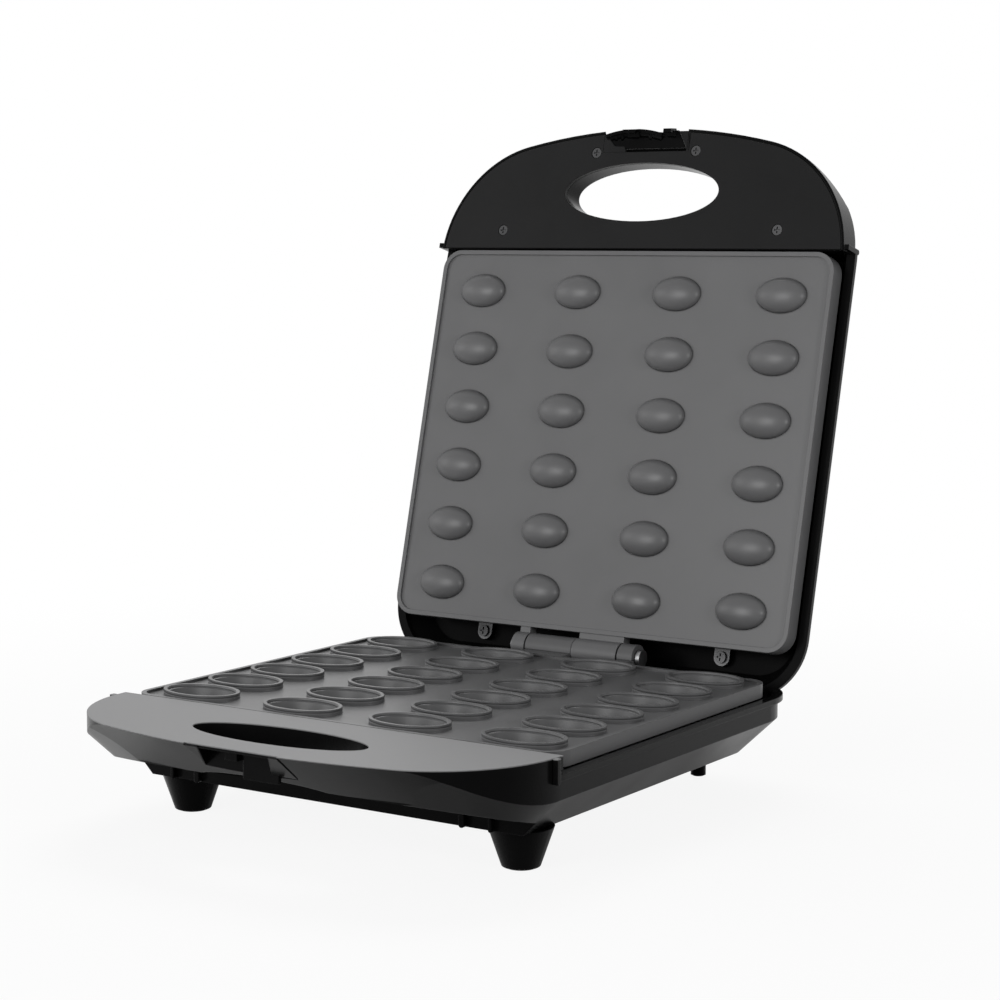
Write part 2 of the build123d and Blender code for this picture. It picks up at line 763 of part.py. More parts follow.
with BuildPart() as lid_housing:
    add(lid_outer)
    add(bead(lid, lid_rim))
    add(lid_bay.part, mode=Mode.SUBTRACT)
    add(strip(lid, -20, lid_wall, 0, lid_rim), mode=Mode.SUBTRACT)
    add(lid_hollow.part, mode=Mode.SUBTRACT)
    add(panel_seat.part, mode=Mode.SUBTRACT)
    add(lid_inside.part)
    add(lid_hooks.part)
    add(pillar(lid, ear_places, 4.5, lid_ear_top + sheet, lid_floor + 0.5))
    add(latch_recess, mode=Mode.SUBTRACT)
    add(latch_pocket, mode=Mode.SUBTRACT)
    add(latch_pin_piece.part, mode=Mode.SUBTRACT)
    add(finger_hole(lid, 0, -2, 45), mode=Mode.SUBTRACT)
    add(pillar(lid, panel_screw_places, 1.2, 0, panel_under + 4.2), mode=Mode.SUBTRACT)
    add(pillar(lid, ear_places, 1.2, lid_ear_top, lid_floor + 1), mode=Mode.SUBTRACT)
    add(pillar(lid, lamp_places, 3.5, lid_floor - 1, lid_depth + 1), mode=Mode.SUBTRACT)
    add(bevel_cut(lid), mode=Mode.SUBTRACT)
save(lid_housing.part, "lid_housing")

# Panel of the lid's handle and its screws
head_seat = parting + 1.4
with BuildPart() as handle_panel:
    add(shell_form(lid, panel_inset, panel_inset))
    add(strip(lid, panel_back, 290, 0, panel_under), mode=Mode.INTERSECT)
    add(finger_hole(lid, 0, -2, 45), mode=Mode.SUBTRACT)
    add(latch_recess, mode=Mode.SUBTRACT)
    add(pillar(lid, panel_screw_places, 3.1, 0, head_seat), mode=Mode.SUBTRACT)
    add(pillar(lid, panel_screw_places, 1.6, 0, panel_under), mode=Mode.SUBTRACT)
save(handle_panel.part, "upper_handle_panel")
save(cross_screws(lid, panel_screw_places, head_seat - 1.25, 2.8, 1.25, 1.2, 4.8), "panel_screws")

# Latch clip: an arched cap along the apron, two hooks, ribs and a barrel on its pin
apron_top = (clip_front, 0.6)
apron_end = (clip_front - 9, 0.6 + 9 / apron_run)
with BuildPart() as latch_clip:
    with BuildSketch(side(lid).offset(clip_middle), mode=Mode.PRIVATE) as cap_section:
        with BuildLine():
            Polyline(
                (clip_front, -0.55),
                apron_top,
                apron_end,
                (apron_end[0] - 1.2, apron_end[1] - 1.6),
                (clip_front - 1.9, 0.3),
                (clip_front - 1.9, -0.55),
                close=True,
            )
        make_face()
    cap_axis = Axis(
        lid.origin + lid.x_dir * clip_middle + lid.y_dir * (clip_front - clip_arch), lid.z_dir
    )
    cap = revolve(cap_section.sketch, axis=cap_axis, revolution_arc=17.4, mode=Mode.PRIVATE)
    add(cap)
    add(revolve(cap_section.sketch, axis=cap_axis, revolution_arc=-17.4, mode=Mode.PRIVATE))
    with BuildSketch(side(lid).offset(recess_left + 2)):
        with Locations((latch_y, latch_depth)):
            Circle(barrel)
    extrude(amount=recess_right - recess_left - 3)
    for x0, width in ((5, 8), (-22.5, 10)):
        with BuildSketch(side(lid).offset(x0)):
            with BuildLine():
                Polyline(
                    (clip_front, clip_tip),
                    apron_top,
                    (latch_y + 3.3, latch_depth - 0.5),
                    (latch_y, latch_depth),
                    (clip_front - 1.9, -0.6),
                    (clip_front - 1.9, clip_tip + 1.7),
                    (clip_front - 3.4, clip_tip + 1.3),
                    (clip_front - 3.4, clip_tip),
                    close=True,
                )
            make_face()
        extrude(amount=width)
    for x0 in (-6.5, -2.5, 15, 19):
        with BuildSketch(side(lid).offset(x0)):
            with BuildLine():
                Polyline(
                    (latch_y - 2, latch_depth - 1.2),
                    (latch_y + 6, latch_depth - 4.8),
                    (latch_y + 2, latch_depth + 0.4),
                    close=True,
                )
            make_face()
        extrude(amount=1.6)
    with BuildSketch(side(lid).offset(recess_left)):
        with Locations((latch_y, latch_depth)):
            Circle(latch_pin + pin_fit)
    extrude(amount=60, mode=Mode.SUBTRACT)
save(latch_clip.part, "latch_clip")

# Hinge pin with its head and retaining ring
with BuildPart() as hinge_pin:
    with BuildSketch(side(base).offset(-39.5)):
        Circle(pin_radius)
    extrude(amount=80)
    with BuildSketch(side(base).offset(38.2)):
        Circle(4.5)
    extrude(amount=2.3)
    with BuildSketch(side(base).offset(-39)):
        Circle(pin_radius + 1)
        Circle(2.1, mode=Mode.SUBTRACT)
    extrude(amount=0.9, mode=Mode.SUBTRACT)
save(hinge_pin.part, "hinge_pin")
with BuildPart() as hinge_ring:
    with BuildSketch(side(base).offset(-38.95)):
        Circle(5)
        Circle(2.15, mode=Mode.SUBTRACT)
        with Locations((-4, 0)):
            Rectangle(8, 2.4, mode=Mode.SUBTRACT)
    extrude(amount=0.8)
save(hinge_ring.part, "hinge_ring")

# Screws for the trays and the plates
for name, half, level, ear_top in (
    ("lower", base, base_tray, base_ear_top),
    ("upper", lid, lid_tray, lid_ear_top),
):
    save(cross_screws(half, ear_places, ear_top - 1.8, 3.1, 1.8, 1.2, 3.6), f"{name}_tray_screws")
    save(
        cross_screws(flip(half), plate_screw_places, -level - sheet - 1.8, 3.1, 1.8, 1.45, 8),
        f"{name}_plate_screws",
    )

# Thermostat under the lower plate, held by a strap
thermostat_shoulder = base_tray + sheet
with BuildPart() as thermostat:
    add(pillar(base, [thermostat_place], 7.8, 10, thermostat_shoulder))
    add(pillar(base, [thermostat_place], 6.3, thermostat_shoulder, 24))
    with BuildSketch(base.offset(24)):
        with Locations((-3.5, thermostat_place[1]), (3.5, thermostat_place[1])):
            Rectangle(0.8, 6.3)
    extrude(amount=6)
save(thermostat.part, "thermostat")
with BuildPart() as strap:
    with BuildSketch(base.offset(thermostat_shoulder)):
        with Locations(thermostat_place):
            SlotOverall(40, 13)
            Circle(6.4, mode=Mode.SUBTRACT)
        with Locations(*strap_screw_places):
            Circle(1.5, mode=Mode.SUBTRACT)
    extrude(amount=sheet)
save(strap.part, "thermostat_strap")
strap_screw_top = thermostat_shoulder + sheet + 1.5
save(
    cross_screws(flip(base), strap_screw_places, -strap_screw_top, 2.6, 1.5, 1.2, 4), "strap_screws"
)

# Terminal block, cord bush and wires in the base
block_place = (-34, 62)
block_top = base_floor - 11
with BuildPart() as terminal_block:
    with BuildSketch(base.offset(block_top)):
        with Locations(block_place):
            Rectangle(33, 15)
    extrude(amount=11)
    with BuildSketch(base.offset(block_top)):
        with Locations(block_place):
            with GridLocations(10.5, 7.4, 3, 2):
                Circle(2.3)
    extrude(amount=3, mode=Mode.SUBTRACT)
    with BuildSketch(front(base, block_place[1] + 8)):
        with Locations((block_place[0], base_floor - 4.5)):
            with GridLocations(10.5, 1, 3, 1):
                Circle(1.6)
    extrude(amount=16, mode=Mode.SUBTRACT)
save(terminal_block.part, "terminal_block")
with BuildPart() as terminal_screws:
    with BuildSketch(base.offset(block_top + 1.4)):
        with Locations(block_place):
            with GridLocations(10.5, 7.4, 3, 2):
                Circle(2)
                Rectangle(4, 0.7, mode=Mode.SUBTRACT)
    extrude(amount=1.5)
save(terminal_screws.part, "terminal_screws")
with BuildPart() as cord_bush:
    with BuildSketch(front(base, -13.5)):
        with Locations((cord_x, cord_depth)):
            Circle(6.9)
    extrude(amount=-2.5)
    with BuildSketch(front(base, -11.0)):
        with Locations((cord_x, cord_depth)):
            Circle(5.45)
    extrude(amount=-15.5)
    with BuildSketch(front(base, -13.5)):
        with Locations((cord_x, cord_depth)):
            Circle(3.2)
    extrude(amount=-18, mode=Mode.SUBTRACT)
save(cord_bush.part, "cord_bush")


def wires(half, runs):
    """Insulated wires through (x, y, depth) points, bent to a small radius."""
    with BuildPart() as loom:
        for run in runs:
            with BuildLine(half) as route:
                FilletPolyline(*run, radius=3)
            with BuildSketch(Plane(origin=route.line @ 0, z_dir=route.line % 0)):
                Circle(wire_radius)
            sweep(path=route.wires()[0])
    return loom.part


wire_radius = 1.1
wire_level = base_floor - 1.7
base_tab = base_tails + 5.6
lid_tab = lid_tails + 4
block_edge = block_place[1] + 8
block_wire = base_floor - 4.5
middle_y = thermostat_place[1]
save(
    wires(
        base,
        [
            [
                (-leg_x, tail_y, base_tab), (-leg_x, tail_y, wire_level), (-leg_x, 82, wire_level),
                (-44.5, 82, wire_level), (-44.5, block_edge - 2, block_wire),
            ],
            [
                (leg_x, tail_y, base_tab), (leg_x, tail_y, wire_level), (leg_x, middle_y, wire_level),
                (3.5, middle_y, wire_level), (3.5, middle_y, 30.1),
            ],
            [
                (-3.5, middle_y, 30.1), (-3.5, middle_y, wire_level), (-34, middle_y, wire_level),
                (-34, block_edge - 2, block_wire),
            ],
        ],
    ),
    "base_wires",
)

# Thermal fuse, lamps and wires in the lid
fuse_y = 150.0
fuse_top = lid_tray + sheet
fuse_axis = fuse_top + 3.35
lamp_level = lid_floor - 4
with BuildPart() as thermal_fuse:
    with BuildSketch(side(lid).offset(-8)):
        with Locations((fuse_y, fuse_axis)):
            Circle(2.4)
    extrude(amount=16)
    with BuildSketch(side(lid).offset(-14)):
        with Locations((fuse_y, fuse_axis)):
            Circle(0.6)
    extrude(amount=28)
save(thermal_fuse.part, "thermal_fuse")
with BuildPart() as fuse_clamp:
    with BuildSketch(side(lid).offset(-3)):
        with Locations((fuse_y, fuse_axis)):
            Circle(3.3)
        with Locations((fuse_y - 6, fuse_top + 0.4), (fuse_y, fuse_top + 1.5)):
            Rectangle(14, 0.8)
        with Locations((fuse_y, fuse_axis)):
            Circle(2.45, mode=Mode.SUBTRACT)
    extrude(amount=6)
save(fuse_clamp.part, "fuse_clamp")
for name, place in (("power_lens", lamp_places[0]), ("ready_lens", lamp_places[1])):
    with BuildPart() as lens:
        add(pillar(lid, [place], 4.6, lid_floor - 1.2, lid_floor))
        add(pillar(lid, [place], 3.45, lid_floor, lid_depth + 0.8))
    save(lens.part, name)
with BuildPart() as lamps:
    for x, y in lamp_places:
        with BuildSketch(front(lid, y + 6)):
            with Locations((x, lamp_level)):
                Circle(2.5)
        extrude(amount=12)
save(lamps.part, "lamps")
save(
    wires(
        lid,
        [
            [
                (-leg_x, tail_y + 0.5, lid_tab), (-leg_x, fuse_y, lid_tab), (-18, fuse_y, fuse_axis),
                (-14.1, fuse_y, fuse_axis),
            ],
            [
                (leg_x, tail_y + 0.5, lid_tab), (leg_x, 180, lid_tab), (9, 180, lamp_level),
                (9, 196.9, lamp_level),
            ],
            [
                (14.1, fuse_y, fuse_axis), (20, fuse_y, fuse_axis), (20, 172, 22), (-9, 172, lamp_level),
                (-9, 196.9, lamp_level),
            ],
        ],
    ),
    "lid_wires",
)
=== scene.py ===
"""Looks of an electric nut cookie maker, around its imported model. Lengths are in metres."""

import json
from math import cos, pi, radians, sin

import bmesh
import bpy
from mathutils import Matrix, Vector


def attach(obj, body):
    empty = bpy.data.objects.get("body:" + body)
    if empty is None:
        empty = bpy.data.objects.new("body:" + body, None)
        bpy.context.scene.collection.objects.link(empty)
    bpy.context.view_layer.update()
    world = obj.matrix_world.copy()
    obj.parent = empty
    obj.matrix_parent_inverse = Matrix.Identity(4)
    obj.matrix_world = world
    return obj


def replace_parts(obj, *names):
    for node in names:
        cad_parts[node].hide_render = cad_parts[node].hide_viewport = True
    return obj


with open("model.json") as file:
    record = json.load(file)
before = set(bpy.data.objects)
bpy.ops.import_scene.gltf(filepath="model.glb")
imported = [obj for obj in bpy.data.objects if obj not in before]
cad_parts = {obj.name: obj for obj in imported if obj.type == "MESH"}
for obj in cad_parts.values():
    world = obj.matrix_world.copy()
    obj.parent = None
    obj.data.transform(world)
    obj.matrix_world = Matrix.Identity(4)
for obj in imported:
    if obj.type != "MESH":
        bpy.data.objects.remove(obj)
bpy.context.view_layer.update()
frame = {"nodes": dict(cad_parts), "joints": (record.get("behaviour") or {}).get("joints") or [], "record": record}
nodes = frame["nodes"]
mm = 0.001

# The lid's own directions at rest: across, ahead of the hinge, and into its shell
joints = {joint["name"]: joint for joint in frame["joints"]}
hinge = Vector(joints["lid_hinge"]["pos_m"])
lid_lean = radians(-joints["lid_hinge"]["range_deg"][0])
lid_across = Vector((-1, 0, 0))
lid_ahead = Vector((0, -cos(lid_lean), sin(lid_lean)))
lid_inward = Vector((0, sin(lid_lean), cos(lid_lean)))

# Camera, as fitted to the photograph, seen from the hinge; its lens and sensor are in mm
camera_place = hinge + Vector((0.64113, -1.04295, 0.21794))
camera_right = Vector((0.83381, 0.55206, 0.00158))
camera_down = Vector((0.06280, -0.09201, -0.99378))
camera_lens = 84.03
camera_sensor = 36
camera_near = 0.05

# Room: the floor is nearly white near the object and wholly white from the fade's end on
object_middle = Vector((0, 0, 0.12))
floor_size = 6.0
floor_colour = (0.6, 0.6, 0.6, 1)
floor_rough = 0.9
floor_white = 0.9
floor_gleam = 0.15
fade_start = 0.22
fade_end = 0.75
white = (1, 1, 1, 1)
ambient_level = 0.36

# Lamps: place, side and level
lamps = {
    "front_lamp": ((-0.3, -1.9, 0.6), 1.0, 0.7),
    "left_lamp": ((-1.6, -0.9, 0.6), 0.8, 0.15),
    "right_lamp": ((1.6, -0.45, 0.45), 0.35, 0.3),
    "back_lamp": ((-0.5, 1.2, 1.7), 1.2, 0.8),
}

# Every surface varies over patches, which the middle of the noise's range spans
patch_size = 0.03
patch_detail = 4.0
grain_detail = 2.0
noise_low = 0.3
noise_high = 0.7
edge_samples = 6

# Non-stick coating of the lid's plate and of the base's, whose patches are a little lighter; the base's is set
# darker as painted shade
lid_coat = 0.078
base_coat_painted_shade = 0.062
coat_patch = 1.18

# The lower plate's rings carry a groove round their walls, at this height
groove_height = hinge.z - 0.0006
groove_width = 0.0005
groove_depth = 0.0004

# The base's flat top is duller than its glossy walls and painted a lighter grey as a painted reflection, from just
# under the hinge's height up
top_painted_reflection_colour = (0.178, 0.178, 0.18, 1)
top_rough = 0.5
painted_top_low = hinge.z - 0.0016
painted_top_high = hinge.z - 0.0010

# Domes of the upper plate, in four columns of six, and the narrow seats that they stand in
columns = 4
rows = 6
column_pitch = 0.062
row_pitch = 0.03306
first_row = 0.0297
field_depth = 0.0011
field_slack = 0.00001
dome_long = 0.0144
dome_short = 0.00915
dome_height = 0.0066
dome_turns = 72
dome_steps = 20
seat_long = 0.015
seat_short = 0.00975
seat_depth = 0.0015
seat_bands = 3

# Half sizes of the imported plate's own domes with their seams
packed_long = 0.0155
packed_short = 0.0105

# Base apron: its reach at the parting plane, how fast it falls back, and the shoulders in its
# notch, across and in depth, in mm
apron_reach = 0.2862
apron_run = 1.234
parting = 0.0009
shoulder_thick = 0.0012
shoulders = {
    "left_shoulder": ((-26, 1.6), (-18.4, 1.6), (-26, 13.2)),
    "right_shoulder": ((21.4, 1.6), (26, 1.6), (26, 13.2), (11.5, 13.2)),
}

# Latch clip: its web across the lid's notch, across and ahead, and the web's depths, in mm
web = (
    (-24.4, 283.6), (-21, 284.8), (-8, 285.8), (10.5, 284.2),
    (14.5, 285.4), (18.8, 285.2), (24.4, 275.4), (-24.4, 275.4),
)
web_depths = (1.4, 2.6)

# Its right end, past a corner in its front part, is drawn in, and its hooks taper to their tips
clip_corner = 0.0125
clip_squeeze = 0.5
clip_front = 0.2785
hook_root = -0.0006
hook_front = 0.2855
hook_drop = 0.0014

# The panel's ledges in the corners of the lid's notch, across and ahead, and their depths, in mm
ledges = (
    ((-26.8, 273.6), (-12.4, 273.6), (-13.6, 276.6), (-19.8, 277), (-25.6, 283), (-26.8, 283.4)),
    ((26.8, 273.6), (26.8, 284.6), (19.5, 284.6), (25.4, 274.4)),
)
ledge_depths = (0.9, 2.2)


def link(tree, source, target):
    tree.links.new(source, target)


def feed(tree, value, socket):
    """Links a socket to another one or sets it to a plain value."""
    if isinstance(value, bpy.types.NodeSocket):
        link(tree, value, socket)
    else:
        socket.default_value = value


def maths(tree, operation, *values):
    """One value worked out from sockets or numbers."""
    node = tree.nodes.new("ShaderNodeMath")
    node.operation = operation
    for socket, value in zip(node.inputs, values):
        feed(tree, value, socket)
    return node.outputs[0]


def ramp(tree, source, low, high, start=0.0):
    """A smooth rise from the start to one, between two values of the source."""
    span = tree.nodes.new("ShaderNodeMapRange")
    span.interpolation_type = "SMOOTHSTEP"
    span.inputs["From Min"].default_value = low
    span.inputs["From Max"].default_value = high
    span.inputs["To Min"].default_value = start
    link(tree, source, span.inputs["Value"])
    return span.outputs["Result"]


def blend(tree, kind, factor, first, second):
    """The first value where the factor is nothing, and the second where it is one."""
    mix = tree.nodes.new("ShaderNodeMix")
    mix.data_type = kind
    link(tree, factor, mix.inputs["Factor"])
    feed(tree, first, mix.inputs["A"])
    feed(tree, second, mix.inputs["B"])
    return mix.outputs["Result"]


def height(tree):
    """Height over the ground."""
    place = tree.nodes.new("ShaderNodeTexCoord")
    parts = tree.nodes.new("ShaderNodeSeparateXYZ")
    link(tree, place.outputs["Object"], parts.inputs["Vector"])
    return parts.outputs["Z"]


def noise(tree, grain, detail):
    """Even noise with grains of one size."""
    place = tree.nodes.new("ShaderNodeTexCoord")
    field = tree.nodes.new("ShaderNodeTexNoise")
    field.inputs["Scale"].default_value = 1 / grain
    field.inputs["Detail"].default_value = detail
    link(tree, place.outputs["Object"], field.inputs["Vector"])
    return field.outputs["Fac"]


def spread(tree, source, low, high):
    """A value that runs from low to high as the noise does."""
    span = tree.nodes.new("ShaderNodeMapRange")
    span.inputs["From Min"].default_value = noise_low
    span.inputs["From Max"].default_value = noise_high
    span.inputs["To Min"].default_value = low
    span.inputs["To Max"].default_value = high
    link(tree, source, span.inputs["Value"])
    return span.outputs["Result"]


def relief(tree, source, depth, under=None):
    """Surface relief of a real depth in metres, over another relief."""
    bump = tree.nodes.new("ShaderNodeBump")
    bump.inputs["Strength"].default_value = 1.0
    bump.inputs["Distance"].default_value = depth
    link(tree, source, bump.inputs["Height"])
    if under:
        link(tree, under, bump.inputs["Normal"])
    return bump.outputs["Normal"]


def rounding(tree, radius):
    """Edges that catch the light as if they had this radius."""
    bevel = tree.nodes.new("ShaderNodeBevel")
    bevel.samples = edge_samples
    bevel.inputs["Radius"].default_value = radius
    return bevel.outputs["Normal"]


def surface(name, dark, light, rough, grain, depth, edge=0.0, **settings):
    """A surface whose colour and gloss vary over patches, with a fine relief and softened edges."""
    paint = bpy.data.materials.new(name)
    paint.use_nodes = True
    tree = paint.node_tree
    shader = tree.nodes["Principled BSDF"]
    patches = noise(tree, patch_size, patch_detail)
    colour = blend(tree, "RGBA", patches, (*dark, 1), (*light, 1))
    link(tree, colour, shader.inputs["Base Color"])
    link(tree, spread(tree, patches, *rough), shader.inputs["Roughness"])
    soft = rounding(tree, edge) if edge else None
    fine = noise(tree, grain, grain_detail)
    link(tree, relief(tree, fine, depth, soft), shader.inputs["Normal"])
    for socket, value in settings.items():
        shader.inputs[socket.replace("_", " ")].default_value = value
    return paint


def grey(level):
    return (level, level, level * 1.02)


def plain_grey(level):
    return (level, level, level, 1)


def black_gloss(name):
    """Polished black plastic."""
    return surface(
        name, dark=grey(0.002), light=grey(0.004), rough=(0.2, 0.26), grain=0.0016, depth=0.000004,
        edge=0.0008, Specular_Tint=plain_grey(0.05), IOR=1.3,
    )


def black_matte():
    """Black plastic with a fine matt grain."""
    return surface(
        "black_matte", dark=grey(0.007), light=grey(0.010), rough=(0.42, 0.5), grain=0.0007,
        depth=0.00002, edge=0.0005, Specular_Tint=plain_grey(0.08),
    )


def top_with_painted_reflection():
    """Black plastic whose flat top is rougher and painted a lighter grey as a painted reflection, and glossy
    elsewhere.
    """
    paint = black_gloss("top_with_painted_reflection")
    tree = paint.node_tree
    shader = tree.nodes["Principled BSDF"]
    top = ramp(tree, height(tree), painted_top_low, painted_top_high)
    for name, kind, top_value in (
        ("Base Color", "RGBA", top_painted_reflection_colour),
        ("Roughness", "FLOAT", top_rough),
    ):
        glossy = shader.inputs[name].links[0].from_socket
        link(tree, blend(tree, kind, top, glossy, top_value), shader.inputs[name])
    return paint


def coated_cast(name, level):
    """Satin non-stick coating: a fine mottle over cast metal."""
    return surface(
        name, dark=grey(level), light=grey(level * coat_patch), rough=(0.34, 0.42), grain=0.0009,
        depth=0.00002, edge=0.0004, Specular_Tint=plain_grey(0.5),
    )


def grooved_cast():
    """The coating of the lower plate, set darker as painted shade, with a groove round the walls of its rings."""
    paint = coated_cast("grooved_cast", base_coat_painted_shade)
    tree = paint.node_tree
    shader = tree.nodes["Principled BSDF"]
    away = maths(tree, "ABSOLUTE", maths(tree, "SUBTRACT", height(tree), groove_height))
    groove = ramp(tree, away, 0.0, groove_width)
    fine = shader.inputs["Normal"].links[0].from_socket
    link(tree, relief(tree, groove, groove_depth, fine), shader.inputs["Normal"])
    return paint


def metal(name, **looks):
    return surface(name, Metallic=1.0, **looks)


def lens(name, colour):
    """Clear tinted plastic of an indicator lamp that is off."""
    return surface(
        name, dark=colour, light=tuple(c * 0.8 for c in colour), rough=(0.06, 0.12), grain=0.002,
        depth=0.000005, Transmission_Weight=0.6, IOR=1.49,
    )


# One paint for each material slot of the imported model
paints = {
    "black_gloss": black_gloss("black_gloss"),
    "black_matte": black_matte(),
    "coated_cast": coated_cast("coated_cast", lid_coat),
    "heater_sheath": metal(
        "heater_sheath", dark=(0.14, 0.12, 0.10), light=(0.26, 0.24, 0.22), rough=(0.35, 0.5),
        grain=0.0008, depth=0.00001,
    ),
    "sheet_steel": metal(
        "sheet_steel", dark=grey(0.34), light=grey(0.42), rough=(0.28, 0.4), grain=0.0006,
        depth=0.000006,
    ),
    "zinc_steel": metal(
        "zinc_steel", dark=grey(0.20), light=grey(0.30), rough=(0.28, 0.42), grain=0.0005,
        depth=0.000008,
    ),
    "rubber_black": surface(
        "rubber_black", dark=grey(0.02), light=grey(0.03), rough=(0.7, 0.85), grain=0.0006,
        depth=0.00003,
    ),
    "pale_insulator": surface(
        "pale_insulator", dark=(0.62, 0.58, 0.5), light=(0.7, 0.66, 0.58), rough=(0.4, 0.55),
        grain=0.0008, depth=0.00001,
    ),
    "brass_parts": metal(
        "brass_parts", dark=(0.5, 0.36, 0.16), light=(0.62, 0.46, 0.22), rough=(0.25, 0.4),
        grain=0.0006, depth=0.000006,
    ),
    "wire_cover": surface(
        "wire_cover", dark=(0.36, 0.33, 0.26), light=(0.48, 0.45, 0.37), rough=(0.7, 0.85),
        grain=0.0004, depth=0.00008,
    ),
    "red_lens": lens("red_lens", (0.5, 0.03, 0.02)),
    "green_lens": lens("green_lens", (0.04, 0.4, 0.07)),
    "lamp_glass": surface(
        "lamp_glass", dark=grey(0.9), light=grey(0.95), rough=(0.02, 0.05), grain=0.002,
        depth=0.000002, Transmission_Weight=0.95, IOR=1.5,
    ),
}
blued_steel = metal(
    "blued_steel", dark=grey(0.035), light=grey(0.06), rough=(0.3, 0.4), grain=0.0005,
    depth=0.000008,
)
aged_sheet = metal(
    "aged_sheet", dark=grey(0.06), light=grey(0.09), rough=(0.4, 0.5), grain=0.0006, depth=0.000006,
)

# Nodes that look different from the rest of their slot
node_paints = {
    # The lower plate's coating is set darker than the lid's, as painted shade
    "lower_plate": grooved_cast(),
    # The housing's flat top carries a painted reflection: a lighter grey colour
    "lower_housing": top_with_painted_reflection(),
    "upper_tray": aged_sheet,
    "panel_screws": blued_steel,
    "upper_tray_screws": blued_steel,
}


def lid_point(across, ahead, depth):
    return hinge + lid_across * across + lid_ahead * ahead + lid_inward * depth


def add_piece(name, data, body):
    piece = bpy.data.objects.new(name, data)
    bpy.context.collection.objects.link(piece)
    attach(piece, body)
    return piece


def finished(mesh, name, paint):
    data = bpy.data.meshes.new(name)
    mesh.to_mesh(data)
    mesh.free()
    data.materials.clear()
    data.materials.append(paint)
    return data


def on_dome(face, middles):
    """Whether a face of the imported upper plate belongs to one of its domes."""
    place = face.calc_center_median() - hinge
    x, y, depth = place.dot(lid_across), place.dot(lid_ahead), place.dot(lid_inward)
    return depth < field_depth - field_slack and any(
        ((x - mx) / packed_long) ** 2 + ((y - my) / packed_short) ** 2 < 1 for mx, my in middles
    )


def dome_profile():
    """Half length, half width and depth of each ring, from the seat's edge nearly to the tip."""
    profile = [
        (seat_long, seat_short, 0),
        (seat_long, seat_short, seat_depth),
        (dome_long, dome_short, seat_depth),
    ]
    for step in range(dome_steps):
        lift = step / dome_steps * pi / 2
        profile.append((dome_long * cos(lift), dome_short * cos(lift), -dome_height * sin(lift)))
    return profile


def add_dome(mesh, mx, my):
    """One dome in its seat, about a middle given across and ahead."""
    rings = [
        [
            mesh.verts.new(lid_point(
                mx + long * cos(2 * pi * turn / dome_turns),
                my + short * sin(2 * pi * turn / dome_turns),
                field_depth + depth,
            ))
            for turn in range(dome_turns)
        ]
        for long, short, depth in dome_profile()
    ]
    tip = mesh.verts.new(lid_point(mx, my, field_depth - dome_height))
    for band, (low, high) in enumerate(zip(rings, rings[1:])):
        for turn in range(dome_turns):
            after = (turn + 1) % dome_turns
            face = mesh.faces.new((low[turn], high[turn], high[after], low[after]))
            face.smooth = band >= seat_bands
    last = rings[-1]
    for turn in range(dome_turns):
        mesh.faces.new((last[turn], tip, last[(turn + 1) % dome_turns])).smooth = True


def smooth_domes():
    """The upper plate with its domes rounded."""
    mesh = bmesh.new()
    mesh.from_mesh(nodes["upper_plate"].data)
    middles = [
        (column_pitch * (column - (columns - 1) / 2), first_row + row_pitch * row)
        for column in range(columns)
        for row in range(rows)
    ]
    gone = [face for face in mesh.faces if on_dome(face, middles)]
    bmesh.ops.delete(mesh, geom=gone, context="FACES")
    for mx, my in middles:
        add_dome(mesh, mx, my)
    data = finished(mesh, "domed_plate", paints["coated_cast"])
    domed = add_piece("domed_plate", data, "lid")
    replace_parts(domed, "upper_plate")


def prism(mesh, near, far):
    """Solid between two outlines of as many points."""
    low = [mesh.verts.new(point) for point in near]
    high = [mesh.verts.new(point) for point in far]
    mesh.faces.new(low)
    mesh.faces.new(high[::-1])
    for i in range(len(low)):
        after = (i + 1) % len(low)
        mesh.faces.new((low[after], low[i], high[i], high[after]))
    bmesh.ops.recalc_face_normals(mesh, faces=mesh.faces)


def lid_slab(mesh, outline, depths):
    """Flat slab in the lid, from mm across, ahead and in depth, with the outline as in the room."""
    prism(mesh, *[[lid_point(-x * mm, y * mm, depth * mm) for x, y in outline] for depth in depths])


def apron_point(across, depth, inset):
    """A point on the base's apron or inset behind it, from mm across and in depth."""
    reach = apron_reach - (depth * mm - parting) * apron_run - inset
    return hinge + Vector((across * mm, -reach, -depth * mm))


def notch_shoulders():
    """The apron's slanted shoulders in the base's latch notch."""
    for name, outline in shoulders.items():
        mesh = bmesh.new()
        prism(
            mesh,
            [apron_point(*point, 0) for point in outline],
            [apron_point(*point, shoulder_thick) for point in outline],
        )
        data = finished(mesh, name, paints["black_gloss"])
        add_piece(name, data, "base")


def webbed_clip():
    """The latch clip with its web across the notch, tapered hooks and a narrower right end."""
    mesh = bmesh.new()
    mesh.from_mesh(nodes["latch_clip"].data)
    for point in mesh.verts:
        place = point.co - hinge
        ahead = place.dot(lid_ahead)
        if place.x > clip_corner and ahead > clip_front:
            point.co.x = clip_corner + (place.x - clip_corner) * clip_squeeze
        if place.dot(lid_inward) < hook_root and ahead > hook_front:
            point.co -= lid_ahead * hook_drop
    lid_slab(mesh, web, web_depths)
    data = finished(mesh, "webbed_clip", paints["black_gloss"])
    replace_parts(add_piece("webbed_clip", data, "latch"), "latch_clip")


def panel_ledge():
    """The panel's ledges in the corners of the lid's latch notch."""
    mesh = bmesh.new()
    for ledge in ledges:
        lid_slab(mesh, ledge, ledge_depths)
    data = finished(mesh, "panel_ledge", paints["black_matte"])
    add_piece("panel_ledge", data, "lid")


def fade(tree, away, near):
    """One beyond a distance from the object, and less near it."""
    return ramp(tree, away, fade_start, fade_end, near)


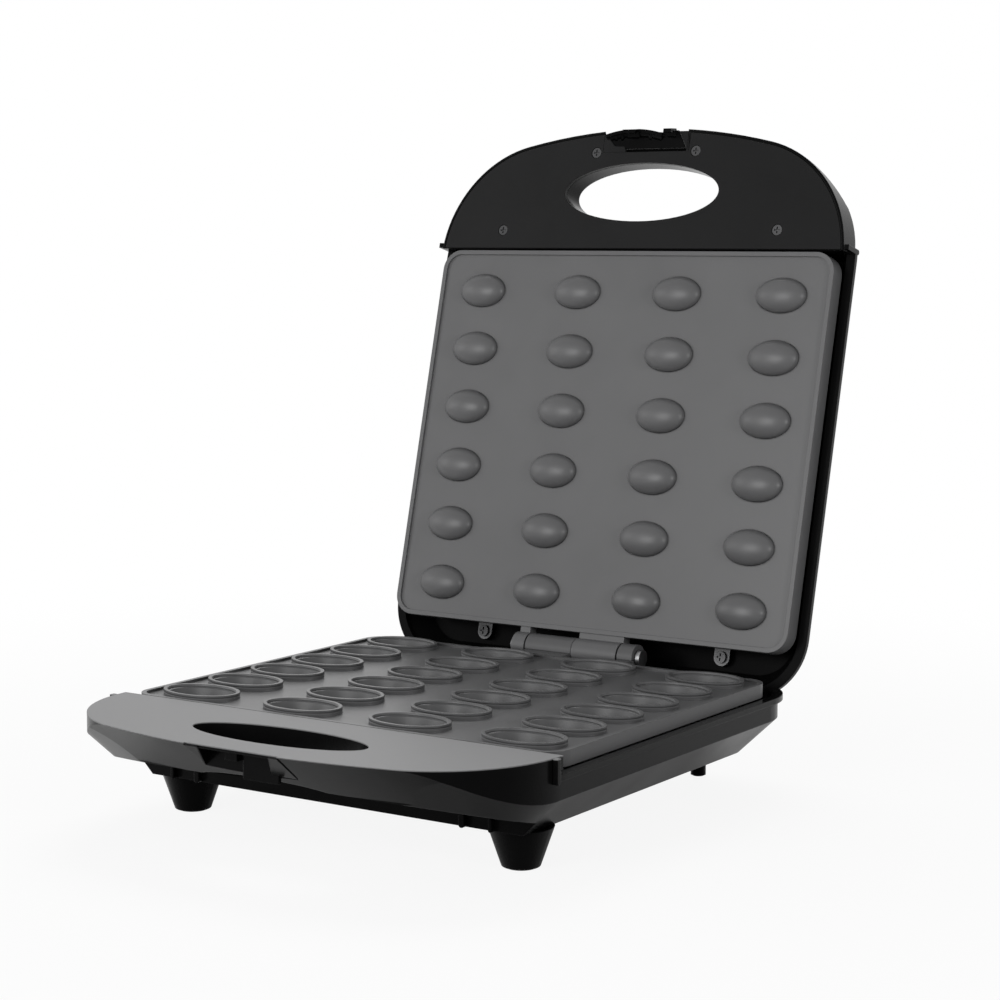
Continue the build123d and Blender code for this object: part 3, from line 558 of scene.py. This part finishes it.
def white_for_viewers(tree, plain, away=None):
    """White for the camera, reflections and glass, and the plain shader for all other light."""
    path = tree.nodes.new("ShaderNodeLightPath")
    behind = plain.type == "BACKGROUND"
    glow = tree.nodes.new("ShaderNodeBackground" if behind else "ShaderNodeEmission")
    glow.inputs["Color"].default_value = white
    seen = path.outputs["Is Camera Ray"]
    gleam = maths(
        tree, "MAXIMUM", path.outputs["Is Glossy Ray"], path.outputs["Is Transmission Ray"]
    )
    if away:
        seen = maths(tree, "MULTIPLY", seen, fade(tree, away, floor_white))
        gleam = maths(tree, "MULTIPLY", gleam, fade(tree, away, floor_gleam))
    mix = tree.nodes.new("ShaderNodeMixShader")
    link(tree, maths(tree, "MAXIMUM", seen, gleam), mix.inputs[0])
    link(tree, plain.outputs[0], mix.inputs[1])
    link(tree, glow.outputs[0], mix.inputs[2])
    return mix.outputs[0]


def surround():
    """White surround with a plain ambient light."""
    world = bpy.data.worlds.new("surround")
    bpy.context.scene.world = world
    world.use_nodes = True
    tree = world.node_tree
    ambient = tree.nodes["Background"]
    ambient.inputs["Color"].default_value = white
    ambient.inputs["Strength"].default_value = ambient_level
    link(tree, white_for_viewers(tree, ambient), tree.nodes["World Output"].inputs["Surface"])


def floor_paint():
    """Pale floor that fades to white away from the object."""
    paint = bpy.data.materials.new("floor_paint")
    paint.use_nodes = True
    tree = paint.node_tree
    shader = tree.nodes["Principled BSDF"]
    shader.inputs["Base Color"].default_value = floor_colour
    shader.inputs["Roughness"].default_value = floor_rough
    shader.inputs["Specular IOR Level"].default_value = 0.0
    place = tree.nodes.new("ShaderNodeTexCoord")
    reach = tree.nodes.new("ShaderNodeVectorMath")
    reach.operation = "LENGTH"
    link(tree, place.outputs["Object"], reach.inputs[0])
    whole = white_for_viewers(tree, shader, reach.outputs["Value"])
    link(tree, whole, tree.nodes["Material Output"].inputs["Surface"])
    return paint


def floor():
    bpy.ops.mesh.primitive_grid_add(x_subdivisions=4, y_subdivisions=4, size=floor_size)
    ground = bpy.context.object
    ground.name = "floor"
    ground.data.materials.append(floor_paint())


def soft_box(name, place, side, level):
    """Square area lamp aimed at the object, which lights a facing surface to the level given."""
    lamp = bpy.data.lights.new(name, "AREA")
    lamp.shape = "SQUARE"
    lamp.size = side
    away = Vector(place) - object_middle
    lamp.energy = level * pi**2 * away.length_squared
    thing = bpy.data.objects.new(name, lamp)
    thing.location = place
    thing.rotation_euler = away.to_track_quat("Z", "Y").to_euler()
    bpy.context.collection.objects.link(thing)


def camera():
    lens_data = bpy.data.cameras.new("camera")
    lens_data.lens = camera_lens
    lens_data.sensor_width = camera_sensor
    lens_data.clip_start = camera_near
    thing = bpy.data.objects.new("camera", lens_data)
    back = camera_right.cross(-camera_down)
    turn = Matrix((camera_right, -camera_down, back)).transposed()
    thing.matrix_world = Matrix.Translation(camera_place) @ turn.to_4x4()
    bpy.context.collection.objects.link(thing)
    bpy.context.scene.camera = thing


smooth_domes()
notch_shoulders()
webbed_clip()
panel_ledge()
for part in frame["record"]["subparts"]:
    piece = nodes[part["node"]]
    piece.data.materials.clear()
    piece.data.materials.append(node_paints.get(part["node"], paints[part["material_slot"]]))

surround()
floor()
for name, (place, side, level) in lamps.items():
    soft_box(name, place, side, level)
camera()
bpy.context.scene.view_settings.view_transform = "Standard"
